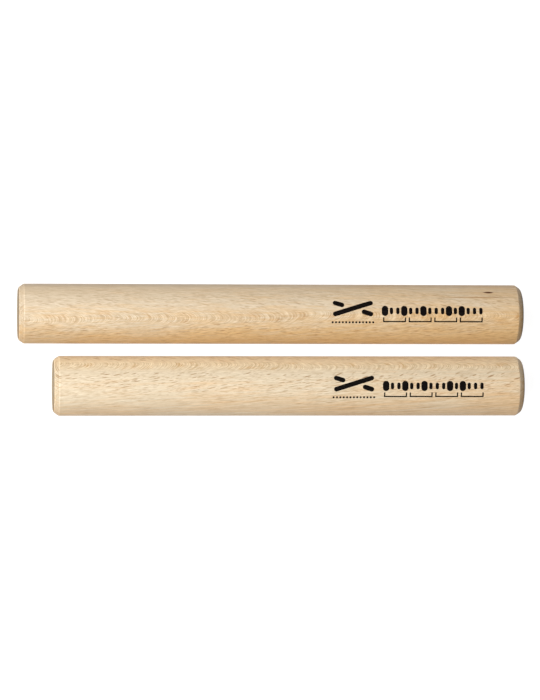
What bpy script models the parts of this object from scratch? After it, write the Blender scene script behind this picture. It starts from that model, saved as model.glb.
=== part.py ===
"""Claves: a longer and a shorter turned beech stick, lying side by side on a flat surface.

Frame: metres, +Z up. +X runs along the sticks and +Y points from the shorter to the longer one.
The origin is on the surface, midway along the pair and midway across it.
"""
import math

import bpy

# Driving dimensions of the sticks
STICK_DIAMETER = 0.0250
LONG_LENGTH = 0.2117
SHORT_LENGTH = 0.1976
CHAMFER_LENGTH = 0.0024
CHAMFER_DEPTH = 0.00165
FACE_ROUND = 0.0020
BARREL_ROUND = 0.0010
ROUND_STEPS = 2

# How the pair lies
STICK_PITCH = 0.0301
PAIR_LENGTH = 0.2122

# Fineness of the turned surface
TURN_STEPS = 64
MERGE_DISTANCE = 0.00001

# Colour of clear-finished beech
LONG_BEECH_COLOUR = (0.72, 0.53, 0.33, 1.0)
SHORT_BEECH_COLOUR = (0.74, 0.56, 0.36, 1.0)
BEECH_ROUGHNESS = 0.45

COLLECTION_NAME = "claves"

radius = STICK_DIAMETER / 2
# The facets' flats, and not their corners, lie at the true radius, so a stick stands on a flat
facet_factor = 1 / math.cos(math.pi / TURN_STEPS)


def clear_scene():
    for old in list(bpy.data.objects):
        bpy.data.objects.remove(old, do_unlink=True)


def make_collection(name):
    group = bpy.data.collections.new(name)
    bpy.context.scene.collection.children.link(group)
    return group


def make_beech(name, colour):
    """Clear-finished beech, a pale pinkish tan."""
    material = bpy.data.materials.new(name)
    material.use_nodes = True
    shader = material.node_tree.nodes["Principled BSDF"]
    shader.inputs["Base Color"].default_value = colour
    shader.inputs["Roughness"].default_value = BEECH_ROUGHNESS
    shader.inputs["Metallic"].default_value = 0.0
    return material


def unit(dx, dz):
    length = math.hypot(dx, dz)
    return dx / length, dz / length


def rounded_corner(before, corner, after, round_radius):
    """Points of an arc of the given radius that replaces one corner of the profile."""
    ux, uz = unit(before[0] - corner[0], before[1] - corner[1])
    vx, vz = unit(after[0] - corner[0], after[1] - corner[1])
    half_angle = math.acos(ux * vx + uz * vz) / 2
    bx, bz = unit(ux + vx, uz + vz)
    reach = round_radius / math.sin(half_angle)
    centre = (corner[0] + bx * reach, corner[1] + bz * reach)
    trim = round_radius / math.tan(half_angle)
    first = (corner[0] + ux * trim, corner[1] + uz * trim)
    last = (corner[0] + vx * trim, corner[1] + vz * trim)
    start = math.atan2(first[1] - centre[1], first[0] - centre[0])
    end = math.atan2(last[1] - centre[1], last[0] - centre[0])
    points = []
    for step in range(ROUND_STEPS + 1):
        angle = start + (end - start) * step / ROUND_STEPS
        x = centre[0] + round_radius * math.cos(angle)
        z = centre[1] + round_radius * math.sin(angle)
        points.append((x, z))
    return points


def stick_profile(length):
    """Outer side from the top pole to the bottom one: flat face, chamfer, barrel, chamfer, face."""
    top = length / 2
    face_edge = (radius - CHAMFER_DEPTH, top)
    barrel_edge = (radius, top - CHAMFER_LENGTH)
    mirrored_barrel_edge = (barrel_edge[0], -barrel_edge[1])
    upper = [(0.0, top)]
    upper += rounded_corner(upper[0], face_edge, barrel_edge, FACE_ROUND)
    upper += rounded_corner(face_edge, barrel_edge, mirrored_barrel_edge, BARREL_ROUND)
    lower = [(x, -z) for x, z in reversed(upper)]
    return upper + lower


def make_stick(name, length, colour, group):
    """A solid stick, turned about its local Z axis."""
    points = [(x * facet_factor, 0.0, z) for x, z in stick_profile(length)]
    edges = [(i, i + 1) for i in range(len(points) - 1)]
    mesh = bpy.data.meshes.new(name)
    mesh.from_pydata(points, edges, [])
    mesh.materials.append(make_beech(name + "_beech", colour))
    stick = bpy.data.objects.new(name, mesh)
    group.objects.link(stick)
    turn = stick.modifiers.new("turned", "SCREW")
    turn.axis = "Z"
    turn.angle = 2 * math.pi
    turn.steps = TURN_STEPS
    turn.render_steps = TURN_STEPS
    turn.use_merge_vertices = True
    turn.merge_threshold = MERGE_DISTANCE
    turn.use_smooth_shade = True
    return stick


def make_empty(name, location, group):
    empty = bpy.data.objects.new(name, None)
    empty.location = location
    group.objects.link(empty)
    return empty


def lay_along_x(stick, parent):
    """Turns the stick's own axis to +X, with a flat facet at the bottom."""
    half_facet = math.pi / TURN_STEPS
    stick.rotation_mode = "ZYX"
    stick.rotation_euler = (0.0, math.pi / 2, half_facet)
    stick.parent = parent


def build():
    clear_scene()
    group = make_collection(COLLECTION_NAME)
    origin = make_empty("claves_origin", (0.0, 0.0, 0.0), group)

    # The longer stick starts at the left end of the pair, the shorter one stops at its right end
    long_centre_x = (LONG_LENGTH - PAIR_LENGTH) / 2
    short_centre_x = (PAIR_LENGTH - SHORT_LENGTH) / 2
    long_place = make_empty("long_clave_axis", (long_centre_x, STICK_PITCH / 2, radius), group)
    # The shorter stick slides along Y, from drawn back to touching the longer one
    strike_slide = make_empty("strike_slide", (short_centre_x, -STICK_PITCH / 2, radius), group)
    long_place.parent = origin
    strike_slide.parent = origin

    long_clave = make_stick("long_clave", LONG_LENGTH, LONG_BEECH_COLOUR, group)
    short_clave = make_stick("short_clave", SHORT_LENGTH, SHORT_BEECH_COLOUR, group)
    lay_along_x(long_clave, long_place)
    lay_along_x(short_clave, strike_slide)


build()
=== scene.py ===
"""Looks of the claves: two turned beech sticks with printed marks, on a pale floor.

Lengths are in metres in the frame's axes: +X along the sticks, +Y from the shorter stick to the
longer one, +Z up. A place on a barrel is given by x and by the arc from its top line, positive
towards +Y. Inside the materials lengths are in millimetres from the stick's centre.
"""
import math
from dataclasses import dataclass

import bmesh
import bpy
from mathutils import Matrix, Vector


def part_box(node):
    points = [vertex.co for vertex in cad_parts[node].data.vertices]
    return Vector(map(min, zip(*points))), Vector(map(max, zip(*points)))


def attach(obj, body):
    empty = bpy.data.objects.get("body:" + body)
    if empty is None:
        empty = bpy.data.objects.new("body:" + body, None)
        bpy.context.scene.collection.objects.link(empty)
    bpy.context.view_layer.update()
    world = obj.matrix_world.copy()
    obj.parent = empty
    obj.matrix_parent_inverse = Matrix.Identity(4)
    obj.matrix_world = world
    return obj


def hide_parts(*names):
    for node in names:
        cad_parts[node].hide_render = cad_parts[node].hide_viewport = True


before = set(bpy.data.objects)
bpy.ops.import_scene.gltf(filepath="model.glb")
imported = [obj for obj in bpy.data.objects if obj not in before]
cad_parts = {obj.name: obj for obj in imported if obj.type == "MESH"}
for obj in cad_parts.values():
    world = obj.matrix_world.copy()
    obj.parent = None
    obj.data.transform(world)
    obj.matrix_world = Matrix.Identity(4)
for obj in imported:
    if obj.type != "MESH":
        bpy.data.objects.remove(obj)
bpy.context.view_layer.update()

MM = 0.001

# The turned shape, as in the CAD solids
CHAMFER_LENGTH = 2.4 * MM
CHAMFER_DEPTH = 1.65 * MM
BARREL_ROUND = 1.0 * MM
FACE_ROUND = 2.0 * MM

# The ink lies proud of the wood by this much, with its outer face at the CAD radius and its root
# a little inside the wood
INK_THICKNESS = 0.02 * MM
INK_ROOT = 0.05 * MM

# Fineness of the meshes
TURN_STEPS = 224
ROUND_STEPS = 8
RING_SPACING = 2.0 * MM
SLIT_SPACING = 0.12 * MM
INK_SPACING = 0.5 * MM
MERGE_DISTANCE = 0.001 * MM

# Rings on an end: shares of the way out on the flat face, and of the way down the chamfer
FACE_RINGS = (0.05, 0.35, 0.7, 0.9, 0.97)
CHAMFER_RINGS = (0.1, 0.5, 0.9)
# From the end of the rounded barrel edge to the first ring of the barrel
BARREL_MARGIN = 0.2 * MM

# The floor glows so that shadows on it stay faint, and sends less of that onto the sticks
FLOOR_HALF_SIZE = 6.0
FLOOR_TONE = 0.96
FLOOR_BOUNCE = 0.53

# Light: a strip high up beyond the left end of the sticks, and a little from all around
STRIP_PLACE = (-0.56, 0.0, 0.86)
STRIP_WIDTH = 0.45
STRIP_LENGTH = 2.0
STRIP_POWER = 24.6
AMBIENT = 0.07
BACKDROP = 1.0

# Camera: 36 mm on the long side of a portrait frame, above a point just beyond the sticks' left end
LENS = 172.67
SENSOR_SIZE = 36.0
CAMERA_DISTANCE = 1.400
CAMERA_X = -0.15174
CAMERA_Y = 0.00096
LOOK_AT_X = -0.00046
LOOK_AT_Y = 0.00002
CAMERA_ROLL = -0.00152


# ---------------------------------------------------------------- sticks

@dataclass
class Mark:
    """A lens-shaped mark on a barrel: its centre, half sizes and depth in metres, and its tint."""

    x: float
    arc: float
    half_length: float
    half_width: float
    depth: float
    tint: tuple

    def depth_at(self, x, arc):
        """Depth of the V-shaped cut below the barrel; its outline narrows to a point at both ends."""
        along = (x - self.x) / self.half_length
        across = abs(arc - self.arc) / self.half_width
        return self.depth * max(0.0, 1 - along * along - across)


def unit(dx, dz):
    length = math.hypot(dx, dz)
    return dx / length, dz / length


def rounded_corner(before, corner, after, radius):
    """Points of an arc of the given radius that replaces one corner of a profile."""
    ux, uz = unit(before[0] - corner[0], before[1] - corner[1])
    vx, vz = unit(after[0] - corner[0], after[1] - corner[1])
    half_angle = math.acos(ux * vx + uz * vz) / 2
    bx, bz = unit(ux + vx, uz + vz)
    reach = radius / math.sin(half_angle)
    centre = (corner[0] + bx * reach, corner[1] + bz * reach)
    trim = radius / math.tan(half_angle)
    first = (corner[0] + ux * trim, corner[1] + uz * trim)
    last = (corner[0] + vx * trim, corner[1] + vz * trim)
    start = math.atan2(first[1] - centre[1], first[0] - centre[0])
    end = math.atan2(last[1] - centre[1], last[0] - centre[0])
    points = []
    for step in range(ROUND_STEPS + 1):
        angle = start + (end - start) * step / ROUND_STEPS
        x = centre[0] + radius * math.cos(angle)
        z = centre[1] + radius * math.sin(angle)
        points.append((x, z))
    return points


def end_profile(half_length, radius):
    """(x, radius) pairs from near the pole of the +X end to the start of the barrel."""
    face_edge = (half_length, radius - CHAMFER_DEPTH)
    barrel_edge = (half_length - CHAMFER_LENGTH, radius)
    face_arc = rounded_corner((half_length, 0.0), face_edge, barrel_edge, FACE_ROUND)
    barrel_arc = rounded_corner(face_edge, barrel_edge, (0.0, radius), BARREL_ROUND)
    face_radius = face_arc[0][1]
    face = [(half_length, face_radius * share) for share in FACE_RINGS]
    chamfer_start, chamfer_end = face_arc[-1], barrel_arc[0]
    chamfer = []
    for share in CHAMFER_RINGS:
        x = chamfer_start[0] + (chamfer_end[0] - chamfer_start[0]) * share
        r = chamfer_start[1] + (chamfer_end[1] - chamfer_start[1]) * share
        chamfer.append((x, r))
    return face + face_arc + chamfer + barrel_arc


def spread(low, high, spacing):
    """Evenly spaced values from low to high, both included, at most spacing apart."""
    count = math.ceil((high - low) / spacing)
    return [low + (high - low) * i / count for i in range(count + 1)]


def denser(values, centre, reach, spacing):
    """The values in order, with those within reach of the centre replaced by closer ones."""
    kept = [value for value in values if abs(value - centre) > reach + spacing]
    return sorted(kept + spread(centre - reach, centre + reach, spacing))


def stick_profile(length, radius, cuts):
    """(x, radius) pairs from one pole to the other, close together at the cuts."""
    end = end_profile(length / 2, radius)
    inner = end[-1][0] - BARREL_MARGIN
    places = spread(-inner, inner, RING_SPACING)
    for cut in cuts:
        places = denser(places, cut.x, cut.half_length, SLIT_SPACING)
    barrel = [(x, radius) for x in reversed(places)]
    return end + barrel + [(-x, r) for x, r in reversed(end)]


def make_stick(name, box, marks):
    """A turned stick about its own X axis, with its origin at its centre."""
    low, high = box
    radius = (high.z - low.z) / 2 - INK_THICKNESS
    cuts = [mark for mark in marks if mark.depth > 0]
    arcs = spread(-math.pi * radius, math.pi * radius, 2 * math.pi * radius / TURN_STEPS)[:-1]
    for cut in cuts:
        arcs = denser(arcs, cut.arc, cut.half_width, SLIT_SPACING)
    mesh = bmesh.new()
    rings = []
    for x, ring_radius in stick_profile(high.x - low.x, radius, cuts):
        ring = []
        for arc in arcs:
            angle = arc / radius
            r = ring_radius - sum(cut.depth_at(x, arc) for cut in cuts)
            ring.append(mesh.verts.new((x, r * math.sin(angle), r * math.cos(angle))))
        rings.append(ring)
    for ring, following in zip(rings, rings[1:]):
        for step, vertex in enumerate(ring):
            mesh.faces.new((ring[step - 1], following[step - 1], following[step], vertex))
    for ring in (rings[0], rings[-1]):
        pole = mesh.verts.new((ring[0].co.x, 0.0, 0.0))
        for step, vertex in enumerate(ring):
            mesh.faces.new((ring[step - 1], vertex, pole))
    return finished(name, mesh, (low + high) / 2)


def finished(name, mesh, centre):
    """Makes a smooth-shaded object of the mesh, and places it."""
    bmesh.ops.recalc_face_normals(mesh, faces=mesh.faces)
    data = bpy.data.meshes.new(name)
    mesh.to_mesh(data)
    mesh.free()
    data.shade_smooth()
    piece = bpy.data.objects.new(name, data)
    piece.location = centre
    bpy.context.scene.collection.objects.link(piece)
    return piece


# ---------------------------------------------------------------- printed marks

# The printed block starts this far from the +X end and holds, left to right, a pair of crossed
# sticks over a row of dots, and sixteen beats. Pairs are along the stick and around it, and places
# are from the block's left end and the top line.
PRINT_FROM_END = 81.6 * MM
EMBLEM_CENTRE = (9.0 * MM, 2.4 * MM)
EMBLEM_STICK = (17.6 * MM, 2.0 * MM)
EMBLEM_TILT = math.radians(17.5)
EMBLEM_GAP = 0.4 * MM
DOT_ROW = (9.0 * MM, -3.45 * MM)
DOT_COUNT = 13
DOT_PITCH = 1.42 * MM
DOT_SIZE = 0.9 * MM
BEATS_START = (22.45 * MM, 1.4 * MM)
BEAT_COUNT = 16
BEAT_PITCH = 2.70 * MM
STRUCK_BEATS = (0, 3, 6, 10, 12)
STRUCK_SIZE = (2.7 * MM, 4.3 * MM)
REST_SIZE = (1.4 * MM, 2.8 * MM)
# A bracket joins this many beats, and reaches past the middle of the outer ones
BRACKET_BEATS = 4
BRACKET_OVERHANG = 0.3 * BEAT_PITCH
BRACKET_ARC = -2.35 * MM
BRACKET_LINE = 0.55 * MM
BRACKET_HOOK = 1.5 * MM
# Faces of the ink that meet at more than this stay sharp
INK_SHARP_ANGLE = math.radians(40)


def add_bar(mesh, centre, angle, length, width, rounding):
    """A flat bar in the (x, arc) plane, turned by angle, with its four corners rounded off."""
    left_end = []
    for step in range(ROUND_STEPS + 1):
        turn = math.pi / 2 * step / ROUND_STEPS
        along = -length / 2 + rounding * (1 - math.cos(turn))
        half = width / 2 - rounding * (1 - math.sin(turn))
        left_end.append((along, half))
    straight = length / 2 - rounding
    middle = []
    if straight > 0:
        middle = [(along, width / 2) for along in spread(-straight, straight, INK_SPACING)[1:-1]]
    right_end = [(-along, half) for along, half in reversed(left_end)]
    rows = spread(-1.0, 1.0, 2 * INK_SPACING / width)
    cosine, sine = math.cos(angle), math.sin(angle)
    made = []
    for along, half in left_end + middle + right_end:
        line = []
        for share in rows:
            across = half * share
            x = centre[0] + along * cosine - across * sine
            arc = centre[1] + along * sine + across * cosine
            line.append(mesh.verts.new((x, arc, 0.0)))
        made.append(line)
    for line, following in zip(made, made[1:]):
        for step in range(len(rows) - 1):
            mesh.faces.new((line[step], following[step], following[step + 1], line[step + 1]))


def add_emblem(mesh):
    """Two crossed sticks: the second passes under the first, with a gap on both sides of it."""
    length, width = EMBLEM_STICK
    add_bar(mesh, EMBLEM_CENTRE, EMBLEM_TILT, length, width, width / 2)
    covered = (width + 2 * EMBLEM_GAP) / math.sin(2 * EMBLEM_TILT) + width / math.tan(2 * EMBLEM_TILT)
    stub = (length - covered) / 2
    for side in (-1, 1):
        reach = side * (covered + stub) / 2
        centre = (EMBLEM_CENTRE[0] + reach * math.cos(-EMBLEM_TILT),
                  EMBLEM_CENTRE[1] + reach * math.sin(-EMBLEM_TILT))
        add_bar(mesh, centre, -EMBLEM_TILT, stub, width, width / 2)


def add_dots(mesh):
    """A row of small round dots under the emblem."""
    centre_x, arc = DOT_ROW
    for place in range(DOT_COUNT):
        x = centre_x + (place - (DOT_COUNT - 1) / 2) * DOT_PITCH
        add_bar(mesh, (x, arc), 0.0, DOT_SIZE, DOT_SIZE, DOT_SIZE / 2)


def add_beats(mesh):
    """A row of beats, larger where the son clave is struck, with a bracket under every four."""
    first_x, arc = BEATS_START
    for beat in range(BEAT_COUNT):
        x = first_x + beat * BEAT_PITCH
        width, height = STRUCK_SIZE if beat in STRUCK_BEATS else REST_SIZE
        add_bar(mesh, (x, arc), math.pi / 2, height, width, width / 2)
    for first_beat in range(0, BEAT_COUNT, BRACKET_BEATS):
        left = first_x + first_beat * BEAT_PITCH - BRACKET_OVERHANG
        right = left + (BRACKET_BEATS - 1) * BEAT_PITCH + 2 * BRACKET_OVERHANG
        add_bracket(mesh, left, right)


def add_bracket(mesh, left, right):
    """A line with a hook up at both ends."""
    base = BRACKET_ARC - BRACKET_HOOK / 2
    line_length = right - left - 2 * BRACKET_LINE
    add_bar(mesh, ((left + right) / 2, base), 0.0, line_length, BRACKET_LINE, 0.0)
    for x in (left + BRACKET_LINE / 2, right - BRACKET_LINE / 2):
        # A square in the corner lets the line and the hook meet it point to point
        add_bar(mesh, (x, base), 0.0, BRACKET_LINE, BRACKET_LINE, 0.0)
        hook_centre = base + BRACKET_LINE / 2 + BRACKET_HOOK / 2
        add_bar(mesh, (x, hook_centre), math.pi / 2, BRACKET_HOOK, BRACKET_LINE, 0.0)


def flat_print():
    """The printed block laid out flat, in the (x, arc) plane."""
    flat = bmesh.new()
    add_emblem(flat)
    add_dots(flat)
    add_beats(flat)
    bmesh.ops.remove_doubles(flat, verts=flat.verts, dist=MERGE_DISTANCE)
    return flat


def make_print(name, box, turn):
    """The printed block on a barrel as closed slabs of ink, moved around the stick by the arc turn."""
    low, high = box
    outer = (high.z - low.z) / 2
    inner = outer - INK_THICKNESS - INK_ROOT
    start = (high.x - low.x) / 2 - PRINT_FROM_END
    flat = flat_print()
    mesh = bmesh.new()
    wrapped = {}
    for radius in (outer, inner):
        for vertex in flat.verts:
            x, arc, _ = vertex.co
            angle = (arc + turn) / outer
            place = (start + x, radius * math.sin(angle), radius * math.cos(angle))
            wrapped[radius, vertex] = mesh.verts.new(place)
        for face in flat.faces:
            mesh.faces.new([wrapped[radius, vertex] for vertex in face.verts])
    for edge in flat.edges:
        if edge.is_boundary:
            a, b = edge.verts
            wall = ((outer, a), (outer, b), (inner, b), (inner, a))
            mesh.faces.new([wrapped[corner] for corner in wall])
    flat.free()
    piece = finished(name, mesh, (low + high) / 2)
    piece.data.set_sharp_from_angle(angle=INK_SHARP_ANGLE)
    return piece


# ---------------------------------------------------------------- materials

# Linear tints that the wood's features multiply its colour by; the last two are painted shade on the
# face's rounded rim and a painted highlight on the edges
LATEWOOD_TINT = (0.93, 0.84, 0.70, 1.0)
FIBRE_DARK_TINT = (0.84, 0.80, 0.74, 1.0)
FIBRE_PALE_TINT = (1.13, 1.16, 1.20, 1.0)
VESSEL_TINT = (0.62, 0.50, 0.36, 1.0)
RAY_TINT = (0.54, 0.40, 0.27, 1.0)
ARC_DARK_TINT = (0.78, 0.69, 0.57, 1.0)
ARC_GOLDEN_TINT = (0.72, 0.54, 0.33, 1.0)
ARC_PALE_TINT = (1.18, 1.23, 1.28, 1.0)
CHAMFER_TINT = (0.86, 0.85, 0.84, 1.0)
END_FACE_TINT = (0.71, 0.67, 0.60, 1.0)
RIM_SHADE_TINT = (0.52, 0.51, 0.49, 1.0)
EDGE_HIGHLIGHT_TINT = (1.10, 1.12, 1.14, 1.0)

# Sizes of the wood's features in mm: along the fibres, around the pith and out from it
STREAK_SIZE = (55, 0.9, 0.9)
FIBRE_SIZE = (16, 0.30, 0.30)
VESSEL_SIZE = (8, 0.30, 0.30)
PATCH_SIZE = (7, 2, 4)
YEAR_RING_WIDTH = 2.6

# Two layers of rays: the pitch of the cells that they lie in, their half sizes, and the share of
# the cells that hold one
TALL_RAYS = ((4.0, 0.46, 16.0), (1.6, 0.085, 9.0), 0.85)
LOW_RAYS = ((1.9, 0.27, 9.0), (0.85, 0.05, 5.0), 0.6)

# Sizes in mm along the stick and across it
CLOUD_SIZE = (40, 9, 9)
INK_GRAIN_SIZE = (3, 0.25, 0.25)

# How strongly the clouds and the streaks shift the wood between its two colours
CLOUD_STRENGTH = 0.9
STREAK_STRENGTH = 1.3

# How the fibres wander from straight: cycles for each mm along and across the stick, and the
# whole reach in mm
SLOW_WANDER_RATE = (0.018, 0.07, 0.07)
SLOW_WANDER = 1.6
FAST_WANDER_RATE = (0.13, 0.3, 0.3)
FAST_WANDER = 0.08

# Sides of a barrel, by the share of its radius that a point lies towards +Y: where a side starts
# and where it is full. The tints of the last two are each stick's own: the +Y side's tone with painted
# light, and painted shade on its outermost part.
WARM_SIDE = (-0.10, -1.05)
VESSEL_SIDE = (0.1, -0.6)
COOL_SIDE = (0.05, 0.42)
HIGH_SIDE = (0.40, 0.90)
# Painted shade on the outermost part of the +Y side starts and is full here
LIMB_SHADE_SIDE = (0.87, 0.94)
# What the cool side takes off the share of the warm colour
COOLING = 0.32

# Zones of an end, by how squarely the surface faces along the stick: 0 on the barrel, 0.57 on the
# chamfer and 1 on the flat face. The values are where a zone starts and is full and, where there
# are four, where it fades and ends.
# Painted highlights: a pale line on the barrel's rounded edge, and one on the outer rounding of the -X
# chamfers
EDGE_HIGHLIGHT_ZONE = (0.02, 0.12, 0.25, 0.42)
CHAMFER_ZONE = (0.38, 0.55)
RIM_HIGHLIGHT_ZONE = (0.58, 0.66, 0.84, 0.90)
# Painted shade: a dark line on the rounding next to the flat face
RIM_SHADE_ZONE = (0.84, 0.90, 0.985, 0.999)
END_FACE_ZONE = (0.84, 0.92)

# Roughness of the bare wood, and what the fibres and an end face add to it
WOOD_ROUGHNESS = 0.42
FIBRE_ROUGHNESS = 0.14
END_FACE_ROUGHNESS = 0.15
# Depth of the relief of the wood and of the ink
WOOD_RELIEF = 0.02 * MM
INK_RELIEF = 0.01 * MM

# Linear colours of the ink, where it is thick and where it is thin
THICK_INK = (0.002, 0.001, 0.001, 1.0)
THIN_INK = (0.009, 0.007, 0.006, 1.0)

X_AXIS = (1.0, 0.0, 0.0)


def new_material(name):
    """A material, its node tree and its shader."""
    material = bpy.data.materials.new(name)
    material.use_nodes = True
    tree = material.node_tree
    return material, tree, tree.nodes["Principled BSDF"]


def node(tree, kind, inputs=None, output=0, **settings):
    """Adds a shader node, sets or links its inputs, and returns one of its output sockets."""
    made = tree.nodes.new("ShaderNode" + kind)
    for name, value in settings.items():
        setattr(made, name, value)
    for key, value in (inputs or {}).items():
        socket = made.inputs[key]
        if isinstance(value, bpy.types.NodeSocket):
            tree.links.new(value, socket)
        else:
            socket.default_value = value
    return made.outputs[output]


def math_node(tree, operation, first, second=0.0, third=0.0):
    return node(tree, "Math", {0: first, 1: second, 2: third}, operation=operation)


def product(tree, first, *others):
    for other in others:
        first = math_node(tree, "MULTIPLY", first, other)
    return first


def multiply_add(tree, value, factor, addend):
    return math_node(tree, "MULTIPLY_ADD", value, factor, addend)


def scaled(tree, vector, factors, offset=(0.0, 0.0, 0.0)):
    """The vector times one factor for each axis, plus an offset."""
    return node(tree, "VectorMath", {0: vector, 1: factors, 2: offset}, operation="MULTIPLY_ADD")


def dot(tree, vector, direction):
    return node(tree, "VectorMath", {0: vector, 1: direction}, output=1, operation="DOT_PRODUCT")


def vector_length(tree, vector):
    return node(tree, "VectorMath", {0: vector}, output=1, operation="LENGTH")


def ramp(tree, value, start, end, low=0.0, high=1.0):
    """low up to start, high from end on, and a smooth step between them."""
    inputs = {"Value": value, "From Min": start, "From Max": end, "To Min": low, "To Max": high}
    return node(tree, "MapRange", inputs, interpolation_type="SMOOTHSTEP")


def band(tree, value, start, full, fade, end):
    """0 up to start, 1 from full to fade, and 0 again from end on."""
    return product(tree, ramp(tree, value, start, full), ramp(tree, value, fade, end, 1.0, 0.0))


def noise(tree, vector, detail=1.0, roughness=0.5, output=0):
    """Smooth noise of about 0.25 to 0.75, with a feature size of 1."""
    inputs = {"Vector": vector, "Scale": 1.0, "Detail": detail, "Roughness": roughness}
    return node(tree, "TexNoise", inputs, output=output)


def grain(tree, vector, size, offset=(0.0, 0.0, 0.0), detail=1.0, roughness=0.5):
    """Noise with features of this size in mm along each axis."""
    frequencies = tuple(1 / span for span in size)
    return noise(tree, scaled(tree, vector, frequencies, offset), detail, roughness)


def place_in_mm(tree):
    """Position in mm from the piece's own origin."""
    return scaled(tree, node(tree, "TexCoord", output=3), (1 / MM,) * 3)


def tinted(tree, colour, tint, share=1.0):
    """The colour multiplied by a tint, as far as share says."""
    inputs = {0: share, 6: colour, 7: tint}
    return node(tree, "Mix", inputs, output=2, data_type="RGBA", blend_type="MULTIPLY")


def mixed(tree, first, second, share):
    inputs = {0: share, 6: first, 7: second}
    return node(tree, "Mix", inputs, output=2, data_type="RGBA", blend_type="MIX")


def add_bump(tree, shader, height, strength, distance):
    bump = node(tree, "Bump", {"Strength": strength, "Distance": distance, "Height": height})
    tree.links.new(bump, shader.inputs["Normal"])


@dataclass
class Beech:
    """How one stick was cut from its board, and the colours of its wood."""

    seed: float
    # Degrees from straight up, towards +Y, to the flake line, where the surface runs with the rays
    flake_angle: float
    # How far the fibres rise through the ray planes, for each millimetre along the stick
    fibre_rise: float
    # Signed distance in mm from the stick's axis to the tree's pith, along the rays
    pith: float
    # How strongly the vessels, the rays and the arcs along the flake line show
    vessel_share: float
    ray_share: float
    arc_share: float
    # Arcs for each millimetre along the stick, about
    arc_rate: float
    # Cosines of the angles from the flake line where the arcs begin and where they are full
    arc_reach: tuple
    pale: tuple
    warm: tuple
    # Share of the warm colour at mid length, and what 100 mm towards +X and the -Y side add to it
    warm_share: float
    warm_rise: float
    warm_low: float
    # Tints of the +Y side (its tone, and on the shorter stick also painted light where the longer one
    # shades it), painted shade on that side's outermost part, and painted shade on the +X chamfer where
    # it meets the face
    high_tone_and_painted_light: tuple
    limb_shade_tint: tuple
    plus_end_shade_tint: tuple

    def flake_normal(self):
        """The barrel's outward direction along the flake line."""
        angle = math.radians(self.flake_angle)
        return (0.0, math.sin(angle), math.cos(angle))

    def ray_normal(self, radius):
        """Across the rays at the stick's axis: they fan out, so it differs a little from the above."""
        angle = math.radians(self.flake_angle) + math.asin(radius / MM / self.pith)
        return (0.0, math.sin(angle), math.cos(angle))


def wood_coordinates(tree, cut, radius, place):
    """Position in mm in the tree's own terms: along the fibres, around the pith and out from it."""
    slow = noise(tree, scaled(tree, place, SLOW_WANDER_RATE, (cut.seed,) * 3), output=1)
    fast = noise(tree, scaled(tree, place, FAST_WANDER_RATE, (cut.seed + 5,) * 3), output=1)
    wavy = scaled(tree, slow, (0.0, SLOW_WANDER, SLOW_WANDER), place)
    wavy = scaled(tree, fast, (0.0, FAST_WANDER, FAST_WANDER), wavy)
    # Noise averages one half, which this takes out again for both
    average = (SLOW_WANDER + FAST_WANDER) / 2
    wavy = scaled(tree, wavy, (1.0, 1.0, 1.0), (0.0, -average, -average))
    _, sine, cosine = cut.ray_normal(radius)
    across = dot(tree, wavy, (-cut.fibre_rise, sine, cosine))
    outward = math_node(tree, "ADD", dot(tree, wavy, (0.0, cosine, -sine)), cut.pith)
    squares = multiply_add(tree, outward, outward, product(tree, across, across))
    distance = math_node(tree, "SQRT", squares)
    side = 1.0 if cut.pith > 0 else -1.0
    angle = math_node(tree, "ARCTAN2", product(tree, across, side), product(tree, outward, side))
    around = product(tree, angle, abs(cut.pith))
    along = dot(tree, place, X_AXIS)
    return node(tree, "CombineXYZ", {"X": along, "Y": around, "Z": distance})


def latewood(tree, wood, seed):
    """Share of latewood: it grows over each year's ring and ends sharply."""
    distance = dot(tree, wood, (0.0, 0.0, 1.0))
    drift = noise(tree, node(tree, "CombineXYZ", {"X": multiply_add(tree, distance, 0.17, seed)}))
    phase = multiply_add(tree, distance, 1 / YEAR_RING_WIDTH, product(tree, drift, 2.2))
    share = math_node(tree, "FRACT", phase)
    year = node(tree, "TexWhiteNoise", {"W": math_node(tree, "FLOOR", phase)}, noise_dimensions="1D")
    strength = multiply_add(tree, year, 0.6, 0.4)
    return product(tree, band(tree, share, 0.25, 0.88, 0.88, 1.0), strength)


def rays(tree, wood, seed, pitch, half_size, kept):
    """Medullary rays: flat lenses, one in each kept cell of the pitch, of varied size."""
    place = scaled(tree, wood, tuple(1 / step for step in pitch), (seed, seed * 0.7, seed * 1.3))
    cells = tree.nodes.new("ShaderNodeTexVoronoi")
    cells.inputs["Scale"].default_value = 1.0
    tree.links.new(place, cells.inputs["Vector"])
    offset = node(tree, "VectorMath", {0: place, 1: cells.outputs["Position"]}, operation="SUBTRACT")
    offset = scaled(tree, offset, tuple(step / half for step, half in zip(pitch, half_size)))
    # Two random numbers for each cell: one sets the ray's size and one whether there is a ray
    chance = {"Color": cells.outputs["Color"]}
    size = multiply_add(tree, node(tree, "SeparateColor", chance), 0.7, 0.6)
    lens = ramp(tree, math_node(tree, "DIVIDE", vector_length(tree, offset), size), 0.55, 1.0, 1.0, 0.0)
    present = math_node(tree, "LESS_THAN", node(tree, "SeparateColor", chance, output=1), kept)
    return product(tree, lens, present)


def mark_share(tree, place, mark, radius):
    """How fully a point lies in a mark's outline, on the mark's side of the stick."""
    angle = mark.arc / radius
    sine, cosine = math.sin(angle), math.cos(angle)
    along = math_node(tree, "SUBTRACT", dot(tree, place, X_AXIS), mark.x / MM)
    along = product(tree, along, MM / mark.half_length)
    across = math_node(tree, "ABSOLUTE", dot(tree, place, (0.0, cosine, -sine)))
    field = multiply_add(tree, along, along, product(tree, across, MM / mark.half_width))
    facing = math_node(tree, "GREATER_THAN", dot(tree, place, (0.0, sine, cosine)), 0.0)
    return product(tree, ramp(tree, field, 0.6, 1.25, 1.0, 0.0), facing)


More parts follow.
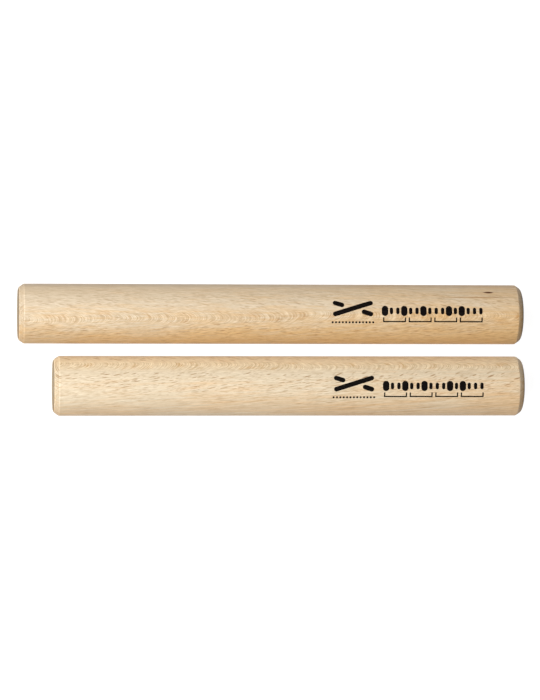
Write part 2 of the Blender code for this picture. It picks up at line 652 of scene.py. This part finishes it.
def ground_colour(tree, cut, place, wood, side):
    """The wood without its figure: warmer towards +X and -Y, in soft clouds and narrow streaks, then
    the +Y side's tint with painted light, and painted shade on its outermost part.
    """
    warm = multiply_add(tree, dot(tree, place, X_AXIS), cut.warm_rise / 100, cut.warm_share)
    warm = math_node(tree, "ADD", warm, ramp(tree, side, *WARM_SIDE, 0.0, cut.warm_low))
    warm = math_node(tree, "ADD", warm, ramp(tree, side, *COOL_SIDE, 0.0, -COOLING))
    clouds = grain(tree, place, CLOUD_SIZE, (cut.seed + 2,) * 3)
    streaks = grain(tree, wood, STREAK_SIZE, (0.0, 3.1, 0.0), detail=2.0)
    warm = multiply_add(tree, math_node(tree, "SUBTRACT", clouds, 0.5), CLOUD_STRENGTH, warm)
    warm = multiply_add(tree, math_node(tree, "SUBTRACT", streaks, 0.5), STREAK_STRENGTH, warm)
    colour = mixed(tree, cut.pale, cut.warm, warm)
    # The +Y side's tint: its tone, and on the shorter stick painted light where the longer one shades
    # it
    colour = tinted(tree, colour, cut.high_tone_and_painted_light, ramp(tree, side, *HIGH_SIDE))
    # Painted shade on the outermost part of the +Y side
    return tinted(tree, colour, cut.limb_shade_tint, ramp(tree, side, *LIMB_SHADE_SIDE))


def with_fine_grain(tree, colour, cut, wood, fibres, side, end_on):
    """Growth rings, faint on the barrel and full on the ends, then fine fibres and dark vessels."""
    late = product(tree, latewood(tree, wood, cut.seed), ramp(tree, end_on, 0.45, 0.80, 0.15, 1.0))
    colour = tinted(tree, colour, LATEWOOD_TINT, late)
    fibre_tint = mixed(tree, FIBRE_DARK_TINT, FIBRE_PALE_TINT, ramp(tree, fibres, 0.22, 0.78))
    colour = tinted(tree, colour, fibre_tint)
    vessels = grain(tree, wood, VESSEL_SIZE, (3.3, 0.0, 0.0), detail=2.0)
    vessel_side = ramp(tree, side, *VESSEL_SIDE, 0.45, 1.0)
    share = product(tree, ramp(tree, vessels, 0.55, 0.70), vessel_side, cut.vessel_share)
    return tinted(tree, colour, VESSEL_TINT, share)


def with_arcs(tree, colour, cut, wood, flatness):
    """Along the flake line the layers between the rays show as nested arcs, in places golden ones."""
    layers = noise(tree, scaled(tree, wood, (1 / 3.5, cut.arc_rate / cut.fibre_rise, 1 / 6)))
    patches = grain(tree, wood, PATCH_SIZE, (0.0, 7.3, 0.0))
    dark = mixed(tree, ARC_DARK_TINT, ARC_GOLDEN_TINT, ramp(tree, patches, 0.52, 0.64))
    arcs = mixed(tree, dark, ARC_PALE_TINT, ramp(tree, layers, 0.20, 0.80))
    radial_face = ramp(tree, flatness, *cut.arc_reach)
    return tinted(tree, colour, arcs, product(tree, radial_face, cut.arc_share))


def with_rays(tree, colour, cut, tall, low, flatness):
    """Rays: dark dashes, strongest where the surface cuts them at a slant, weak on the flake line."""
    start, full = cut.arc_reach
    share = product(tree, ramp(tree, flatness, 0.25, 0.80, 0.38, 1.0), cut.ray_share)
    share = product(tree, share, ramp(tree, flatness, start - 0.04, full - 0.005, 1.0, 0.1))
    colour = tinted(tree, colour, RAY_TINT, product(tree, tall, share))
    return tinted(tree, colour, RAY_TINT, product(tree, low, share, 0.6))


def with_end_tones_and_painted_light(tree, colour, cut, place, end_on, from_axis, radius):
    """Darker -X chamfers and end faces, painted shade on the +X chamfers and the rims, and pale painted
    highlights on the edges.
    """
    plus_end = math_node(tree, "GREATER_THAN", dot(tree, place, X_AXIS), 0.0)
    minus_end = math_node(tree, "SUBTRACT", 1.0, plus_end)
    chamfer = product(tree, ramp(tree, end_on, *CHAMFER_ZONE), minus_end)
    colour = tinted(tree, colour, CHAMFER_TINT, chamfer)
    # Painted shade: the +X chamfers, on the side away from the light, darken from the barrel to the
    # face
    inwards = ramp(tree, from_axis, radius / MM, (radius - CHAMFER_DEPTH) / MM)
    off_face = ramp(tree, end_on, *RIM_SHADE_ZONE[2:], 1.0, 0.0)
    colour = tinted(tree, colour, cut.plus_end_shade_tint, product(tree, inwards, off_face, plus_end))
    colour = tinted(tree, colour, END_FACE_TINT, ramp(tree, end_on, *END_FACE_ZONE))
    # Painted shade on the face's rounded rim
    colour = tinted(tree, colour, RIM_SHADE_TINT, band(tree, end_on, *RIM_SHADE_ZONE))
    # A painted highlight: a pale line along the barrel's rounded edge, at both ends
    colour = tinted(tree, colour, EDGE_HIGHLIGHT_TINT, band(tree, end_on, *EDGE_HIGHLIGHT_ZONE))
    # A painted highlight on the outer rounding of the -X chamfers, the side the light comes from
    rim_highlight = product(tree, band(tree, end_on, *RIM_HIGHLIGHT_ZONE), minus_end)
    return tinted(tree, colour, EDGE_HIGHLIGHT_TINT, rim_highlight)


def make_beech(name, cut, marks, radius):
    """Clear-finished beech as a solid: every cut through it shows what real wood would."""
    material, tree, shader = new_material(name)
    place = place_in_mm(tree)
    wood = wood_coordinates(tree, cut, radius, place)
    side = dot(tree, place, (0.0, MM / radius, 0.0))
    from_axis = vector_length(tree, scaled(tree, place, (0.0, 1.0, 1.0)))
    # How squarely the surface faces along the stick, and across the rays
    normal = node(tree, "TexCoord", output=1)
    end_on = math_node(tree, "ABSOLUTE", dot(tree, normal, X_AXIS))
    flatness = math_node(tree, "ABSOLUTE", dot(tree, normal, cut.flake_normal()))
    fibres = grain(tree, wood, FIBRE_SIZE, detail=3.0, roughness=0.60)
    tall = rays(tree, wood, cut.seed, *TALL_RAYS)
    low = rays(tree, wood, cut.seed + 11, *LOW_RAYS)

    colour = ground_colour(tree, cut, place, wood, side)
    colour = with_fine_grain(tree, colour, cut, wood, fibres, side, end_on)
    colour = with_arcs(tree, colour, cut, wood, flatness)
    colour = with_rays(tree, colour, cut, tall, low, flatness)
    for mark in marks:
        colour = tinted(tree, colour, mark.tint, mark_share(tree, place, mark, radius))
    colour = with_end_tones_and_painted_light(tree, colour, cut, place, end_on, from_axis, radius)
    tree.links.new(colour, shader.inputs["Base Color"])

    end_face = ramp(tree, end_on, *END_FACE_ZONE)
    rough = multiply_add(tree, fibres, FIBRE_ROUGHNESS, WOOD_ROUGHNESS)
    rough = multiply_add(tree, end_face, END_FACE_ROUGHNESS, rough)
    tree.links.new(rough, shader.inputs["Roughness"])
    shader.inputs["Specular IOR Level"].default_value = 0.35

    # The tool leaves rings on the end faces, which the finish only half fills
    tool_rings = noise(tree, node(tree, "CombineXYZ", {"X": product(tree, from_axis, 3.0)}), detail=2.0)
    height = multiply_add(tree, tall, -0.5, fibres)
    height = multiply_add(tree, product(tree, tool_rings, end_face), 1.5, height)
    add_bump(tree, shader, height, strength=0.5, distance=WOOD_RELIEF)
    return material


def make_ink():
    """Black printing ink, a little thinner along the wood's grain."""
    material, tree, shader = new_material("print_ink")
    place = place_in_mm(tree)
    fibres = grain(tree, place, INK_GRAIN_SIZE, detail=3.0, roughness=0.6)
    colour = mixed(tree, THICK_INK, THIN_INK, ramp(tree, fibres, 0.40, 0.75))
    tree.links.new(colour, shader.inputs["Base Color"])
    tree.links.new(multiply_add(tree, fibres, 0.25, 0.42), shader.inputs["Roughness"])
    shader.inputs["Specular IOR Level"].default_value = 0.06
    add_bump(tree, shader, fibres, strength=0.4, distance=INK_RELIEF)
    return material


# ---------------------------------------------------------------- stage

def make_floor():
    """A white floor that glows, more in the camera's eye than on the sticks."""
    mesh = bmesh.new()
    bmesh.ops.create_grid(mesh, x_segments=1, y_segments=1, size=FLOOR_HALF_SIZE)
    data = bpy.data.meshes.new("floor")
    mesh.to_mesh(data)
    mesh.free()
    floor = bpy.data.objects.new("floor", data)
    bpy.context.scene.collection.objects.link(floor)
    material, tree, shader = new_material("white_floor")
    shader.inputs["Base Color"].default_value = (0.22, 0.22, 0.22, 1.0)
    shader.inputs["Roughness"].default_value = 0.9
    shader.inputs["Specular IOR Level"].default_value = 0.1
    shader.inputs["Emission Color"].default_value = (1.0, 1.0, 1.0, 1.0)
    seen = node(tree, "LightPath")
    glow = multiply_add(tree, seen, FLOOR_TONE - FLOOR_BOUNCE, FLOOR_BOUNCE)
    tree.links.new(glow, shader.inputs["Emission Strength"])
    data.materials.append(material)


def make_strip_light():
    """A rectangle of light that faces the origin, with its long side along Y."""
    data = bpy.data.lights.new("strip", "AREA")
    data.shape = "RECTANGLE"
    data.size = STRIP_WIDTH
    data.size_y = STRIP_LENGTH
    data.energy = STRIP_POWER
    light = bpy.data.objects.new("strip", data)
    light.location = STRIP_PLACE
    z = Vector(STRIP_PLACE).normalized()
    x = Vector((0, 1, 0)).cross(z).normalized()
    light.rotation_euler = Matrix((x, z.cross(x), z)).transposed().to_euler()
    bpy.context.scene.collection.objects.link(light)


def make_world():
    """Weak light from all around, and behind the floor the pale tone of a studio wall."""
    world = bpy.data.worlds.new("studio")
    world.use_nodes = True
    tree = world.node_tree
    background = tree.nodes["Background"]
    background.inputs["Color"].default_value = (1.0, 1.0, 1.0, 1.0)
    seen = node(tree, "LightPath")
    strength = multiply_add(tree, seen, BACKDROP - AMBIENT, AMBIENT)
    tree.links.new(strength, background.inputs["Strength"])
    bpy.context.scene.world = world


def make_camera(axis_height):
    """A camera above the sticks, at CAMERA_DISTANCE over the height of their axes."""
    target = Vector((LOOK_AT_X, LOOK_AT_Y, axis_height))
    place = Vector((CAMERA_X, CAMERA_Y, axis_height + CAMERA_DISTANCE))
    backward = (place - target).normalized()
    up = Vector((math.sin(CAMERA_ROLL), math.cos(CAMERA_ROLL), 0.0))
    right = up.cross(backward).normalized()
    up = backward.cross(right)
    data = bpy.data.cameras.new("camera")
    data.sensor_fit = "AUTO"
    data.sensor_width = SENSOR_SIZE
    data.lens = LENS
    camera = bpy.data.objects.new("camera", data)
    camera.location = place
    camera.rotation_euler = Matrix((right, up, backward)).transposed().to_euler()
    bpy.context.scene.collection.objects.link(camera)
    bpy.context.scene.camera = camera


# ---------------------------------------------------------------- the claves

long_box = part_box("long_clave")
short_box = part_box("short_clave")
stick_radius = (long_box[1].z - long_box[0].z) / 2
long_half = (long_box[1].x - long_box[0].x) / 2

long_cut = Beech(
    seed=3.0, flake_angle=-7.0, fibre_rise=0.088, pith=70.0,
    vessel_share=0.85, ray_share=0.50, arc_share=0.85, arc_rate=2.2, arc_reach=(0.960, 0.990),
    pale=(0.605, 0.495, 0.355, 1.0), warm=(0.63, 0.41, 0.195, 1.0),
    warm_share=0.39, warm_rise=0.28, warm_low=0.68,
    high_tone_and_painted_light=(1.03, 0.99, 0.93, 1.0), limb_shade_tint=(0.87, 0.86, 0.88, 1.0),
    plus_end_shade_tint=(0.58, 0.55, 0.52, 1.0))
short_cut = Beech(
    seed=17.0, flake_angle=43.0, fibre_rise=0.09, pith=-85.0,
    vessel_share=0.60, ray_share=0.9, arc_share=0.9, arc_rate=2.0, arc_reach=(0.976, 0.995),
    pale=(0.656, 0.549, 0.397, 1.0), warm=(0.67, 0.44, 0.23, 1.0),
    warm_share=0.16, warm_rise=0.18, warm_low=0.45,
    high_tone_and_painted_light=(1.18, 1.14, 1.07, 1.0), limb_shade_tint=(0.99, 0.98, 0.98, 1.0),
    plus_end_shade_tint=(0.78, 0.69, 0.58, 1.0))

# A small knot's slit near the +X end of the longer stick, and a dark fibre beside it
knot = Mark(x=long_half - 14.8 * MM, arc=10.45 * MM, half_length=2.4 * MM, half_width=0.55 * MM,
            depth=0.35 * MM, tint=(0.16, 0.08, 0.05, 1.0))
dark_fibre = Mark(x=long_half - 19.2 * MM, arc=7.6 * MM, half_length=17.4 * MM, half_width=0.30 * MM,
                  depth=0.0, tint=(0.72, 0.62, 0.52, 1.0))

# The shorter stick's print sits a little further round towards -Y
SHORT_PRINT_TURN = -1.25 * MM

ink = make_ink()
for body, prefix, box, cut, marks, turn in (
        ("long_clave", "long", long_box, long_cut, (knot, dark_fibre), 0.0),
        ("short_clave", "short", short_box, short_cut, (), SHORT_PRINT_TURN)):
    stick = make_stick(prefix + "_stick", box, marks)
    stick.data.materials.append(make_beech(prefix + "_beech", cut, marks, stick_radius))
    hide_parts(body)
    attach(stick, body)
    marking = make_print(prefix + "_print", box, turn)
    marking.data.materials.append(ink)
    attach(marking, body)

make_floor()
make_world()
make_strip_light()
make_camera((long_box[0].z + long_box[1].z) / 2)
bpy.context.scene.view_settings.view_transform = "Standard"
